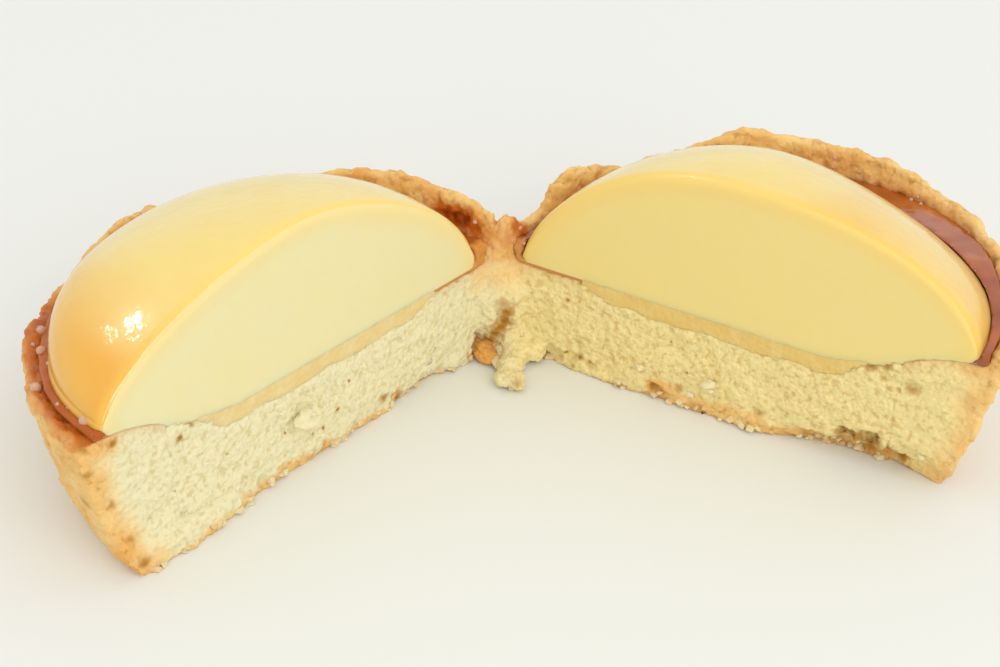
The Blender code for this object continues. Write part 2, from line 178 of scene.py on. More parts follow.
LEFT = Half(
    "left",
    turn=-132.1,
    side=-1,
    spread=(-0.029, -0.003, 0.008, 0.010, 0.012),
    hinge_reach=-0.026,
    fullness=1.63,
    rounding=(0.654, 0.009),
    rounding_waves=(-0.271, -0.067, -0.079, -0.016),
)
RIGHT = Half(
    "right",
    turn=-28.6,
    side=1,
    spread=(-0.0417, -0.0008, 0.0101, 0.0042, 0.0084),
    hinge_reach=0.003,
    fullness=2.26,
    rounding=(0.661, -0.065),
    rounding_waves=(0.184, 0.188, 0.047, -0.024),
)
HALVES = (LEFT, RIGHT)


# ---------------------------------------------------------------- the user's sizes and colours


def colour_property(name, description, hex_colour):
    limits = {"size": 4, "min": 0.0, "max": 1.0, "subtype": "COLOR"}
    default = linear(hex_colour)
    return FloatVectorProperty(name=name, description=description, default=default, **limits)


def length_property(name, description, millimetres):
    limits = {"min": 0.0, "subtype": "DISTANCE", "unit": "LENGTH"}
    default = millimetres * MM
    return FloatProperty(name=name, description=description, default=default, **limits)


class TartSizes(bpy.types.PropertyGroup):
    """Sizes of the tart's fine surface."""

    crust_mesh: length_property("Crust mesh", "Distance between points on the crust", 0.64)
    crust_share: FloatProperty(
        name="Crust share",
        description="Share of the crust's faces that is kept, most of them where it is rough",
        default=0.52,
        min=0.1,
        max=1.0,
    )
    sponge_mesh: length_property("Sponge mesh", "Distance between points on the sponge", 0.5)
    grains: length_property("Grains", "Size of the crumb's larger grains", 0.95)
    grain_depth: length_property("Grain depth", "How far they stand out", 0.52)
    tears: length_property("Tears", "Distance between the crumb's soft hollows", 2.6)
    tear_depth: length_property("Tear depth", "Depth of those hollows", 0.95)
    skin_lumps: length_property("Skin lumps", "Size of the lumps on the baked skin", 2.6)
    skin_lump_height: length_property("Skin lump height", "How far they stand out", 1.1)
    bubbles: IntProperty(
        name="Bubbles",
        description="Number of bubbles along the caramel behind the domes",
        default=26,
        min=0,
    )
    base_crumbs: IntProperty(
        name="Base crumbs",
        description="Number of crumbs that cling along the foot of each cut",
        default=40,
        min=0,
    )


class TartColours(bpy.types.PropertyGroup):
    """Colours of the tart."""

    crust_golden: colour_property("Golden crust", "Lightly baked skin", "#F2CE88")
    crust_toasted: colour_property("Toasted crust", "Well baked skin", "#E0A556")
    # Real freckles of the skin, and also painted shade in the skin's sunk pits
    crust_freckle: colour_property("Freckles", "Darkest spots of the skin", "#9A5E1C")
    # Brown clefts and spots, and also painted shade in small holes and pores and a painted shadow
    # under the right half's foot
    cleft: colour_property("Clefts", "Browned clefts of the cut faces", "#A87008")
    # One crumb colour, painted lit on the left half and in shade on the right: painted light and shade
    crumb_left: colour_property("Crumb, left", "Cut crumb of the left half", "#E7DFB6")
    crumb_right: colour_property("Crumb, right", "Cut crumb of the right half", "#ECDA9A")
    # Painted shade between the grains, a lit copy for the left half and a shaded one for the right;
    # also the grains' random darker tone
    crumb_deep_left: colour_property("Deep crumb, left", "Between its grains", "#C8AF62")
    crumb_deep_right: colour_property("Deep crumb, right", "Between its grains", "#C89C40")
    custard_layer: colour_property("Custard layer", "Thin layer of custard", "#E3C06E")
    # One set custard colour, painted lit on the left half and in shade on the right
    pudding_left: colour_property("Cut pudding, left", "Inside of the set custard", "#E6DEAE")
    pudding_right: colour_property("Cut pudding, right", "Inside of the set custard", "#ECD78E")
    pudding_skin: colour_property("Pudding skin", "Soaked band inside the dome", "#F0CB6C")
    dome: colour_property("Dome", "Glazed outside of the set custard", "#F0D780")
    dome_edge: colour_property("Dome edge", "Where caramel has coloured it", "#EBAE3C")
    caramel: colour_property("Caramel", "Deep caramel", "#7A1E06")
    caramel_thin: colour_property("Thin caramel", "Caramel in a thin film", "#C66C20")
    bubble: colour_property("Bubbles", "Shells of boiled sugar", "#EFBC9C")
    floor: colour_property("Floor", "Plain floor of the stage", "#E9EAE4")


# ---------------------------------------------------------------------------- modelling tools


def activate(piece):
    bpy.ops.object.select_all(action="DESELECT")
    bpy.context.view_layer.objects.active = piece
    piece.select_set(True)


@contextmanager
def editing(piece, chosen=None):
    """Edit mode on one piece, with its chosen points selected, or all of it."""
    activate(piece)
    bpy.ops.object.mode_set(mode="EDIT")
    bpy.ops.mesh.select_mode(type="VERT")
    if chosen is None:
        bpy.ops.mesh.select_all(action="SELECT")
    else:
        bpy.ops.mesh.select_all(action="DESELECT")
        body = bmesh.from_edit_mesh(piece.data)
        for vert, flag in zip(body.verts, chosen):
            vert.select = bool(flag)
        body.select_flush(True)
        bmesh.update_edit_mesh(piece.data)
    yield
    bpy.ops.object.mode_set(mode="OBJECT")


def read(items, name):
    """One vector of every item of a mesh, as the rows of an array."""
    values = np.empty(len(items) * 3, np.float32)
    items.foreach_get(name, values)
    return values.reshape(-1, 3).astype(float)


def points_of(piece):
    return read(piece.data.vertices, "co")


def normals_of(piece):
    return read(piece.data.vertex_normals, "vector")


def place_points(piece, points):
    piece.data.vertices.foreach_set("co", points.astype(np.float32).ravel())
    piece.data.update()


def keep_value(piece, name, values):
    """Keeps one number a point with the mesh, for the piece's material."""
    layer = piece.data.attributes.get(name) or piece.data.attributes.new(name, "FLOAT", "POINT")
    layer.data.foreach_set("value", np.asarray(values, np.float32))


WEIGHT_STEPS = 20


def weigh(piece, name, values):
    """A vertex group with the given weights, in even steps."""
    group = piece.vertex_groups.get(name) or piece.vertex_groups.new(name=name)
    levels = np.rint(np.clip(np.asarray(values, float), 0.0, 1.0) * WEIGHT_STEPS).astype(int)
    for level in range(WEIGHT_STEPS + 1):
        group.add(np.flatnonzero(levels == level).tolist(), level / WEIGHT_STEPS, "REPLACE")
    return name


def apply_modifier(piece, kind, **settings):
    """Adds a modifier, sets it and applies it."""
    change = piece.modifiers.new(kind.lower(), kind)
    for name, value in settings.items():
        setattr(change, name, value)
    activate(piece)
    bpy.ops.object.modifier_apply(modifier=change.name)


def even_mesh(piece, spacing):
    """Closed mesh of even small faces over the same form."""
    apply_modifier(piece, "REMESH", mode="VOXEL", voxel_size=spacing, use_smooth_shade=True)


def solid_copy(node, name):
    """A merged copy of a solid, to be worked into a finished piece."""
    made = bpy.data.objects.new(name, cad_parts[node].data.copy())
    made.data.name = name
    made.data.materials.clear()
    bpy.context.scene.collection.objects.link(made)
    with editing(made):
        bpy.ops.mesh.remove_doubles(threshold=1e-6)
    return made


def face_outward(piece):
    with editing(piece):
        bpy.ops.mesh.normals_make_consistent(inside=False)


def displace(piece, kind, depth, group, **settings):
    """Moves a surface in and out by a texture of the given kind."""
    texture = bpy.data.textures.new("relief", kind)
    for name, value in settings.items():
        setattr(texture, name, value)
    settings = {"texture": texture, "strength": depth, "mid_level": 0.5, "vertex_group": group}
    apply_modifier(piece, "DISPLACE", **settings)
    bpy.data.textures.remove(texture)


def cloudy(piece, size, depth, group=""):
    """Soft lumps of a size, half of them standing out and half of them sunk."""
    displace(piece, "CLOUDS", depth, group, noise_scale=size, noise_depth=3)


def celled(piece, size, depth, group=""):
    """Rounded grains of a size, with creases between them."""
    displace(piece, "VORONOI", -depth, group, noise_scale=size)


def search_tree(points):
    """The points, ready for finding the one that is nearest to a place."""
    tree = kdtree.KDTree(len(points))
    for index, point in enumerate(points):
        tree.insert(point, index)
    tree.balance()
    return tree


def distances(points, targets, reach):
    """From each point to the nearest target, up to a reach."""
    tree = search_tree(targets)
    return np.array([min(reach, tree.find(point)[2] or 0.0) for point in points])


def wander(points, size):
    """A soft random value from -1 to 1 at each point."""
    return np.array([noise.noise(Vector(point) / size) for point in points])


def finish_piece(piece, slot, materials, *nodes):
    """Gives a finished piece its materials and body, and hides the solids that it stands for; the slot
    is not used.
    """
    for made in materials:
        piece.data.materials.append(made)
    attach(piece, BODY)
    if nodes:
        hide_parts(*nodes)


# ----------------------------------------------------------------------- places by view pixel


def camera_matrix():
    turn = Matrix.Rotation(CAMERA_YAW, 4, "Z")
    tilt = Matrix.Rotation(math.pi / 2 - CAMERA_PITCH, 4, "X")
    roll = Matrix.Rotation(CAMERA_ROLL, 4, "Z")
    return Matrix.Translation(CAMERA_PLACE) @ turn @ tilt @ roll


def sight(across, down):
    """The direction in which the view's pixel looks."""
    ray = Vector((across - VIEW_WIDTH / 2, VIEW_HEIGHT / 2 - down, -FOCAL_PIXELS)).normalized()
    return camera_matrix().to_3x3() @ ray


def spot_on(piece, across, down):
    """The place and normal where the view's pixel falls on a piece, or None."""
    hit, place, normal, _ = piece.ray_cast(CAMERA_PLACE, sight(across, down))
    return (place, normal) if hit else None


def nearest_place(pieces, across, down):
    """The nearest place where the view's pixel falls on one of the pieces, or None."""
    spots = [spot for spot in (spot_on(piece, across, down) for piece in pieces) if spot]
    places = (place for place, _ in spots)
    return min(places, key=lambda place: (place - CAMERA_PLACE).length, default=None)


def spots_on(piece, points, rows, reach):
    """Goes through rows of a pixel, a radius in millimetres and other values.

    Gives the points within reach, in radii, of each pixel's place on the piece, how far off
    they are, the radius in metres and the other values.
    """
    for across, down, radius, *rest in rows:
        spot = spot_on(piece, across, down)
        if spot:
            away = np.linalg.norm(points - np.array(spot[0]), axis=1)
            near = np.flatnonzero(away < reach * radius * MM)
            yield near, away[near], radius * MM, *rest


def mark(piece, name, spots, base=0.0):
    """Keeps a value that rises above its base to a strength at each spot, with a ragged edge."""
    points = points_of(piece)
    marks = np.zeros(len(points)) + base
    for near, away, radius, strength in spots_on(piece, points, spots, 1.8):
        ragged = away / (1.1 + 0.8 * wander(points[near], 0.7 * MM))
        inside = 1.0 - smooth(0.0, radius, ragged)
        marks[near] = np.maximum(marks[near], strength * inside)
    keep_value(piece, name, marks)


def push(piece, lumps):
    """Raises or sinks round places by millimetres, outward and upward."""
    points, normals = points_of(piece), normals_of(piece)
    moved = points.copy()
    for near, away, radius, outward, upward in spots_on(piece, points, lumps, 1.0):
        inside = (1.0 - smooth(0.2 * radius, radius, away))[:, None] * MM
        moved[near] += inside * (outward * normals[near] + np.array((0.0, 0.0, upward)))
    place_points(piece, moved)


# ---------------------------------------------------------------------------------- materials

FACTOR, FIRST, SECOND, MIXED = 0, 6, 7, 2  # sockets of a colour Mix node
VALUE, LOW, HIGH, LEAST, MOST = range(5)  # sockets of a Map Range node


def add(tree, kind, sockets=None, **settings):
    """Adds one node, sets it, and sets or links its sockets."""
    node = tree.nodes.new(kind)
    for name, value in settings.items():
        setattr(node, name, value)
    for socket, value in (sockets or {}).items():
        if isinstance(value, bpy.types.NodeSocket):
            tree.links.new(value, node.inputs[socket])
        else:
            node.inputs[socket].default_value = value
    return node


def material(name, finish, *details):
    """A material whose shader has the sockets that a finish works out in its node tree."""
    made = bpy.data.materials.new(name)
    made.use_nodes = True
    tree = made.node_tree
    tree.nodes.clear()
    shader = add(tree, "ShaderNodeBsdfPrincipled", finish(tree, *details))
    add(tree, "ShaderNodeOutputMaterial", {"Surface": shader.outputs[0]})
    return made


def layered(tree, colour, *layers):
    """A colour with others laid over it.

    A layer is its colour and the value that shows where it lies.  The value's low and high end
    can follow, from 0 to 1 otherwise, and how much of the colour shows at each of them.
    """
    for second, value, *span in layers:
        sockets = {VALUE: value, **dict(zip((LOW, HIGH, LEAST, MOST), span))}
        share = add(tree, "ShaderNodeMapRange", sockets).outputs[0]
        sockets = {FACTOR: share, FIRST: colour, SECOND: second}
        colour = add(tree, "ShaderNodeMix", sockets, data_type="RGBA").outputs[MIXED]
    return colour


def inner_light(weight, radius, millimetres):
    """Sockets for light that goes some way into a food and comes out coloured."""
    return {
        "Subsurface Weight": weight,
        "Subsurface Radius": radius,
        "Subsurface Scale": millimetres * MM,
    }


def baked_crumb(tree, colours):
    """Shortcrust or sponge: a sandy golden-brown baked skin, and pale open crumb where cut."""
    place = add(tree, "ShaderNodeTexCoord").outputs["Object"]
    crumb, pits, soak, stain, bake, warm = (
        add(tree, "ShaderNodeAttribute", attribute_name=value).outputs["Fac"]
        for value in ("crumb", "pits", "soak", "stain", "bake", "warm")
    )
    browning, grain = (
        add(
            tree,
            "ShaderNodeTexNoise",
            {"Vector": place, "Scale": per_metre(size), "Detail": detail, "Roughness": rough},
        ).outputs["Fac"]
        for size, detail, rough in ((6.0, 6.0, 0.6), (0.6, 5.0, 0.65))
    )
    sand = add(tree, "ShaderNodeTexVoronoi", {"Vector": place, "Scale": per_metre(0.5)})
    tone = add(tree, "ShaderNodeSeparateColor", {"Color": sand.outputs["Color"]}).outputs["Red"]
    baked, border, relief = (
        add(tree, "ShaderNodeMath", {0: first, 1: share, 2: rest}, operation="MULTIPLY_ADD").outputs[0]
        for first, share, rest in (
            (browning, 0.8, bake),
            (grain, 0.6, crumb),
            (grain, 1.0, sand.outputs["Distance"]),
        )
    )
    # The painted shade between grains and the grains' darker tone, blended from the left copy to the
    # right
    deep = layered(tree, colours.crumb_deep_left, (colours.crumb_deep_right, warm))
    # Cut crumb painted lit on the left half and in shade on the right, blended across the hinge
    inside = layered(
        tree,
        layered(tree, colours.crumb_left, (colours.crumb_right, warm)),
        # Painted shade: darker where the crumb sank between the grains
        (deep, pits, 0.2, 1.0, 0.0, 0.42),
        (deep, tone, 0.6, 1.0, 0.0, 0.18),
        (colours.crust_golden, baked, 0.75, 1.5, 0.0, 0.8),
        (colours.crust_toasted, baked, 1.05, 1.7, 0.0, 0.8),
    )
    colour = layered(
        tree,
        colours.crust_golden,
        (colours.crust_toasted, browning, 0.36, 0.68, 0.0, 0.9),
        (colours.crust_freckle, grain, 0.55, 0.8, 0.0, 0.35),
        # Painted shade in the sunk pits of the skin
        (colours.crust_freckle, pits, 0.45, 1.0, 0.0, 0.35),
        (inside, border, 0.45, 1.1),
        (colours.caramel_thin, soak, 0.0, 0.6),
        (colours.caramel, soak, 0.65, 1.0),
        # Brown marks, with painted shade in holes and pores and a painted shadow under the right
        # half's foot
        (colours.cleft, stain, 0.0, 0.75),
    )
    bump = add(tree, "ShaderNodeBump", {"Height": relief, "Strength": 0.45, "Distance": 0.14 * MM})
    dry = {VALUE: soak, LOW: 0.2, HIGH: 0.8, LEAST: 0.85, MOST: 0.25}
    return {
        "Base Color": colour,
        "Roughness": add(tree, "ShaderNodeMapRange", dry).outputs[0],
        "Normal": bump.outputs["Normal"],
        "Specular IOR Level": 0.3,
        **inner_light(0.3, (1.0, 0.8, 0.5), 0.7),
    }


def baked_custard(tree, colours, side):
    """Pastry custard baked under the pudding: dense, moist and a little see-through."""
    place = add(tree, "ShaderNodeTexCoord").outputs["Object"]
    patches = add(
        tree, "ShaderNodeTexNoise", {"Vector": place, "Scale": per_metre(2.6), "Detail": 4.0}
    ).outputs["Fac"]
    stain = add(tree, "ShaderNodeAttribute", attribute_name="stain").outputs["Fac"]
    # Painted light and shade: the left layer is paler, as lit, and each layer blends with its own
    # half's crumb colour
    paleness = 0.25 if side == "left" else 0.0
    colour = layered(
        tree,
        colours.custard_layer,
        (getattr(colours, "crumb_" + side), patches, 0.4, 0.8, paleness, paleness + 0.4),
        # Thin caramel colour on the brown marks, which also paint shade in holes and pores
        (colours.caramel_thin, stain),
    )
    bump = add(tree, "ShaderNodeBump", {"Height": patches, "Strength": 0.4, "Distance": 0.2 * MM})
    return {
        "Base Color": colour,
        "Roughness": 0.5,
        "Normal": bump.outputs["Normal"],
        **inner_light(0.5, (1.0, 0.7, 0.3), 1.5),
    }


def cut_pudding(tree, colours, side):
    """Set egg custard cut with a knife: satin, even, with a soaked band under the glaze."""
    place = add(tree, "ShaderNodeTexCoord").outputs["Object"]
    cloud, fine = (
        add(
            tree, "ShaderNodeTexNoise", {"Vector": place, "Scale": per_metre(size), "Detail": detail}
        ).outputs["Fac"]
        for size, detail in ((9.0, 3.0), (0.7, 4.0))
    )
    skin = add(tree, "ShaderNodeAttribute", attribute_name="skin").outputs["Fac"]
    colour = layered(
        tree,
        # Painted light and shade: the left half takes the lit copy, the right half the shaded one
        getattr(colours, "pudding_" + side),
        (colours.dome, cloud, 0.3, 0.7, 0.0, 0.2),
        (colours.pudding_skin, skin),
    )
    bump = add(tree, "ShaderNodeBump", {"Height": fine, "Strength": 0.15, "Distance": 0.1 * MM})
    satin = {VALUE: fine, LOW: 0.3, HIGH: 0.7, LEAST: 0.45, MOST: 0.6}
    return {
        "Base Color": colour,
        "Roughness": add(tree, "ShaderNodeMapRange", satin).outputs[0],
        "Normal": bump.outputs["Normal"],
        "IOR": 1.38,
        **inner_light(0.6, (1.0, 0.8, 0.45), 2.0),
    }


def glazed_pudding(tree, colours):
    """The dome of set custard under thinned caramel: wet gloss, deeper orange at its edge."""
    place = add(tree, "ShaderNodeTexCoord").outputs["Object"]
    runs, ripple = (
        add(
            tree, "ShaderNodeTexNoise", {"Vector": place, "Scale": per_metre(size), "Detail": detail}
        ).outputs["Fac"]
        for size, detail in ((8.0, 3.0), (1.6, 2.0))
    )
    glaze, skin = (
        add(tree, "ShaderNodeAttribute", attribute_name=value).outputs["Fac"]
        for value in ("glaze", "skin")
    )
    amber = add(tree, "ShaderNodeMath", {0: runs, 1: 0.5, 2: glaze}, operation="MULTIPLY_ADD")
    colour = layered(
        tree,
        colours.dome,
        (colours.dome_edge, amber.outputs[0], 0.25, 1.3),
        (colours.pudding_skin, skin),
    )
    bump = add(tree, "ShaderNodeBump", {"Height": ripple, "Strength": 0.3, "Distance": 0.3 * MM})
    sheen = {VALUE: runs, LOW: 0.3, HIGH: 0.7, LEAST: 0.3, MOST: 0.42}
    wet = {VALUE: skin, HIGH: 0.35, LEAST: 0.7, MOST: 0.1}
    return {
        "Base Color": colour,
        "Roughness": add(tree, "ShaderNodeMapRange", sheen).outputs[0],
        "IOR": 1.38,
        "Coat Weight": add(tree, "ShaderNodeMapRange", wet).outputs[0],
        "Coat Roughness": 0.07,
        "Coat IOR": 1.4,
        "Coat Normal": bump.outputs["Normal"],
        **inner_light(0.5, (1.0, 0.85, 0.5), 2.0),
    }


def burnt_sugar(tree, colours, side):
    """Caramel boiled to dark amber and set soft: deep red-brown with a wet, sharp gloss."""
    # The left pool is shallower, so it is more orange, and it mirrors less
    orange_from, gloss, specular = (-0.5, 0.15, 0.2) if side == "left" else (0.1, 0.6, 0.5)
    place = add(tree, "ShaderNodeTexCoord").outputs["Object"]
    pools = add(
        tree, "ShaderNodeTexNoise", {"Vector": place, "Scale": per_metre(7.0), "Detail": 2.0}
    ).outputs["Fac"]
    wiped = add(tree, "ShaderNodeAttribute", attribute_name="wiped").outputs["Fac"]
    colour = layered(
        tree,
        colours.caramel,
        (colours.caramel_thin, pools, orange_from, 0.9),
        (colours.crust_toasted, wiped, 0.0, 0.5),
        # Where wiped, the half's crumb colour shows: painted lit on the left, shaded on the right
        (getattr(colours, "crumb_" + side), wiped, 0.5, 1.0),
    )
    bump = add(tree, "ShaderNodeBump", {"Height": pools, "Strength": 0.35, "Distance": 0.4 * MM})
    rough, coat = (
        add(tree, "ShaderNodeMapRange", {VALUE: wiped, HIGH: high, LEAST: wet, MOST: dry}).outputs[0]
        for high, wet, dry in ((1.0, 0.14, 0.75), (0.6, gloss, 0.0))
    )
    return {
        "Base Color": colour,
        "Roughness": rough,
        "Normal": bump.outputs["Normal"],
        "Specular IOR Level": specular,
        "IOR": 1.5,
        "Coat Weight": coat,
        "Coat Roughness": 0.04,
        **inner_light(0.3, (1.0, 0.3, 0.1), 1.2),
    }


def sugar_bubble(_tree, colours):
    """Bubbles blown in boiling sugar: thin clear shells that catch the light in pale pink."""
    return {
        "Base Color": colours.bubble,
        "Roughness": 0.06,
        "IOR": 1.4,
        "Transmission Weight": 0.35,
        "Coat Weight": 1.0,
        "Coat Roughness": 0.03,
    }


def loose_crumb(tree, colours):
    """Crumbs of crust that cling where it broke: pale inside, browned outside."""
    place = add(tree, "ShaderNodeTexCoord").outputs["Object"]
    grain = add(
        tree, "ShaderNodeTexNoise", {"Vector": place, "Scale": per_metre(0.5), "Detail": 3.0}
    ).outputs["Fac"]
    tone = add(tree, "ShaderNodeAttribute", attribute_name="tone").outputs["Fac"]
    bump = add(tree, "ShaderNodeBump", {"Height": grain, "Strength": 0.4, "Distance": 0.12 * MM})
    return {
        # The crumb colour as painted lit on the left half, for every crumb
        "Base Color": layered(tree, colours.crumb_left, (colours.crust_toasted, tone)),
        "Roughness": 0.85,
        "Normal": bump.outputs["Normal"],
        "Specular IOR Level": 0.2,
        **inner_light(0.3, (1.0, 0.7, 0.3), 0.6),
    }


def matt_board(_tree, colours):
    """A plain pale painted board: even and almost without gloss."""
    return {"Base Color": colours.floor, "Roughness": 0.6, "Specular IOR Level": 0.2}


# ------------------------------------------------------------------------------ the crumb


def across_hinge(points):
    """How far points lie to the right of the upright plane through the hinge and the gap."""
    return (points[:, :2] - np.array(HINGE)) @ np.array((-OPENING.y, OPENING.x))


def in_left_half(points):
    return across_hinge(points) < 0


def cut_facing(half, normals):
    """How squarely each normal points out of the half's cut face, from -1 to 1."""
    return -(normals[:, :2] @ np.array(half.into))


# Brown marks on the cut faces: clefts, caramel spots, freckles of bran, painted shade in small
# holes and pores, and a painted shadow under the right half's foot: the pixel, the radius in
# millimetres and the strength
STAINS_AND_SHADE = (
    (180, 438, 1.1, 0.75), (190, 424, 0.9, 0.6), (112, 444, 1.3, 0.7), (82, 448, 1.3, 0.6),
    (87, 476, 1.2, 0.55), (85, 503, 1.3, 0.6), (111, 505, 1.1, 0.5), (145, 563, 1.3, 0.7),
    (130, 539, 0.9, 0.5), (384, 398, 1.3, 0.7), (397, 397, 1.4, 0.8), (410, 393, 1.2, 0.7),
    (443, 373, 1.0, 0.75), (478, 353, 1.2, 0.8), (470, 357, 0.9, 0.6), (337, 409, 0.5, 1.0),
    (323, 428, 0.4, 0.9), (227, 454, 0.4, 0.8), (349, 381, 0.4, 0.9), (285, 433, 0.35, 0.8),
    (313, 434, 0.35, 0.8), (671, 342, 0.4, 0.9), (568, 300, 0.4, 0.9), (687, 373, 0.4, 0.9),
    (504, 304, 1.7, 0.5), (506, 312, 2.1, 0.75), (505, 320, 2.1, 0.8), (500, 327, 2.1, 0.8),
    (495, 333, 2.1, 0.8), (490, 340, 2.1, 0.8), (487, 347, 1.7, 0.7), (474, 354, 2.2, 0.6),
    (440, 374, 2.2, 0.5), (517, 384, 1.1, 0.5), (566, 352, 0.7, 0.8), (580, 357, 0.9, 0.8),
    (590, 362, 0.7, 0.8), (573, 366, 0.6, 0.7), (530, 370, 0.9, 0.8), (545, 372, 0.9, 0.8),
    (872, 366, 1.4, 0.7), (888, 367, 1.3, 0.65), (880, 361, 1.0, 0.6), (884, 378, 0.7, 0.45),
    (889, 388, 0.7, 0.45), (912, 390, 1.3, 0.45), (842, 432, 1.8, 0.6), (856, 437, 2.2, 0.65),
    (872, 443, 2.4, 0.65), (888, 449, 2.4, 0.65), (904, 456, 2.0, 0.6), (680, 388, 1.2, 0.5),
    (652, 387, 1.3, 0.6), (760, 412, 1.1, 0.4), (604, 393, 1.2, 0.6), (577, 386, 1.2, 0.7),
)
# Where caramel has soaked into the crust round the hinge and over the left end
SOAKED = (
    (516, 226, 3.0, 0.6), (524, 236, 2.8, 0.9), (508, 240, 2.6, 0.35), (476, 228, 3.0, 0.8),
    (488, 236, 2.6, 0.4), (466, 220, 2.8, 1.0), (456, 216, 3.0, 1.0),
    (447, 212, 2.8, 0.95), (439, 209, 2.0, 0.8), (497, 250, 3.0, 0.15), (512, 217, 2.6, 0.25),
    (497, 232, 3.0, 0.25), (502, 219, 2.6, 0.2), (484, 250, 2.0, 0.2),
    (96, 434, 3.0, 0.15), (985, 350, 3.0, 0.3), (44, 292, 2.8, 0.5),
    (35, 310, 3.0, 0.6), (29, 332, 3.0, 0.7), (28, 356, 3.0, 0.6), (36, 382, 3.0, 0.5),
    (46, 402, 3.0, 0.5), (62, 418, 3.0, 0.35), (78, 432, 2.6, 0.2),
)
# Lumps and clefts: the pixel, the radius, and how far they rise outward and upward
LUMPS = (
    (512, 236, 3.4, 0.0, 2.6), (524, 240, 2.6, 0.3, 1.6), (500, 238, 2.4, 0.0, 1.6),
    (308, 417, 2.5, 1.6, 0.2), (72, 498, 2.2, 1.2, 0.3), (66, 480, 1.6, 0.6, 0.0),
    (506, 322, 1.6, -1.2, 0.0), (497, 338, 1.4, -1.0, 0.0), (491, 352, 1.3, -0.8, 0.0),
    (570, 358, 1.3, -0.8, 0.0), (588, 366, 1.2, -0.7, 0.0), (550, 348, 1.2, -0.6, 0.0),
    (606, 372, 1.3, -0.6, 0.0), (397, 398, 2.0, -1.2, 0.3), (151, 520, 1.0, -0.8, 0.0),
    (183, 543, 1.0, -0.7, 0.0), (264, 482, 1.2, -0.7, 0.0), (652, 388, 1.2, -1.0, 0.4),
    (845, 436, 2.2, -1.6, 0.2), (868, 442, 2.4, -1.8, 0.2), (892, 452, 2.4, -1.8, 0.2),
    (912, 390, 1.6, -0.9, 0.0), (885, 378, 1.2, -0.6, 0.0), (708, 385, 1.1, 1.3, 0.0),
    (640, 367, 0.9, 0.5, 0.0), (521, 335, 1.8, 0.9, 0.0), (477, 336, 2.0, 0.8, 0.0),
)


def refine(piece, chosen):
    """Halves the faces whose points are all chosen."""
    with editing(piece, chosen):
        bpy.ops.mesh.subdivide(number_cuts=1, smoothness=0.0)


def crumble(piece, sizes, opened, baked=None, rim=None):
    """Torn crumb and baked skin: soft hollows, then rounded grains with creases between."""
    cloudy(piece, 2.3 * sizes.tears, 0.6 * sizes.tear_depth, opened)
    cloudy(piece, sizes.tears, sizes.tear_depth, opened)
    if baked:
        cloudy(piece, sizes.skin_lumps, sizes.skin_lump_height, baked)
    before, normals = points_of(piece), normals_of(piece)
    cloudy(piece, sizes.grains, sizes.grain_depth, opened)
    celled(piece, sizes.grains * 0.6, sizes.grain_depth * 0.3, opened)
    if baked:
        cloudy(piece, sizes.grains, 0.5 * sizes.grain_depth, baked)
        celled(piece, sizes.grains, 0.3 * sizes.grain_depth, baked)
        cloudy(piece, 1.7 * sizes.grains, sizes.grain_depth, rim)
        celled(piece, 0.6 * sizes.grains, 0.2 * sizes.grain_depth, rim)
    # How far each point sank under the grains, kept to paint shade in the pits
    sunk = ((before - points_of(piece)) * normals).sum(axis=1)
    shallow, deep = np.percentile(sunk[np.abs(sunk) > 0], (45, 97))
    keep_value(piece, "pits", np.clip((sunk - shallow) / (deep - shallow), 0.0, 1.0))


# How the zones of the crust are told apart
CUT_DEPTH = 4.5 * MM  # how far behind its plane a rough cut face reaches
TEAR_DEPTH = 0.8 * MM  # how far into the halves the torn web between them reaches
TEAR_REACH = 16.0 * MM  # how far the torn faces reach from the hinge
RIM_FOOT = 17.0 * MM
FLOOR_TOP = 3.0 * MM
SWELL_FADE = 1.5 * MM  # how far the swelling inside fades out beside the inner faces


class Zones:
    """Which parts of the crust are cut, torn, baked skin or hidden inside."""

    def __init__(self, piece):
        self.points = points_of(piece)
        self.normals = normals_of(piece)
        self.left = in_left_half(self.points)
        own = [half.own(self.points) for half in HALVES]
        self.own = np.where(self.left[:, None], *own)
        facing, along = (
            np.where(self.left, *values)
            for values in (
                [cut_facing(half, self.normals) for half in HALVES],
                [self.normals[:, :2] @ np.array(half.along) for half in HALVES],
            )
        )
        between = (own[0][:, 1] < TEAR_DEPTH) & (own[1][:, 1] < TEAR_DEPTH)
        self.from_hinge = np.linalg.norm(self.points[:, :2] - np.array(HINGE), axis=1)
        self.torn = between & (self.from_hinge < TEAR_REACH)
        self.cut = (self.own[:, 1] < CUT_DEPTH) & (facing > 0.5) | self.torn
        radius = np.linalg.norm(self.own[:, :2], axis=1)
        self.rim = (radius > SHELF_RADIUS - 0.5 * MM) & (self.own[:, 2] > RIM_FOOT) & ~self.cut
        outward = (self.own[:, 0] * along - self.own[:, 1] * facing) / radius
        hidden = (radius < SHELF_RADIUS) & (self.own[:, 2] > FLOOR_TOP) & (outward < 0.3)
        self.inner = hidden & ~self.cut & ~self.rim
        self.skin = ~(self.cut | self.inner)


def swell_inside(piece, zones):
    """Thickens the case inside, to close the gaps between the layers."""
    inner = np.flatnonzero(zones.inner)
    tree = search_tree(zones.points[inner])
    moved = zones.points.copy()
    moved[inner] += LAYER_GAP * zones.normals[inner]
    for index in np.flatnonzero(zones.cut | zones.rim):
        _, nearest, away = tree.find(zones.points[index])
        if away < SWELL_FADE:
            share = 1.0 - away / SWELL_FADE
            moved[index] += share * LAYER_GAP * zones.normals[inner[nearest]]
    place_points(piece, moved)


def skin_reach(zones):
    """How far the browned skin shows on the cut face, in from the outside."""
    x, z = zones.own[:, 0], zones.own[:, 2]
    low = fall(2.0, 6.0, z)
    reach = np.where(zones.left, 1.2, 1.3) + 2.2 * rise(26.0, 35.0, x) * (1.0 - low)
    base = rise(-16.0, -4.0, x) * fall(20.0, 25.0, x)
    return (reach + np.where(zones.left, 2.0, 6.0) * low * base) * MM


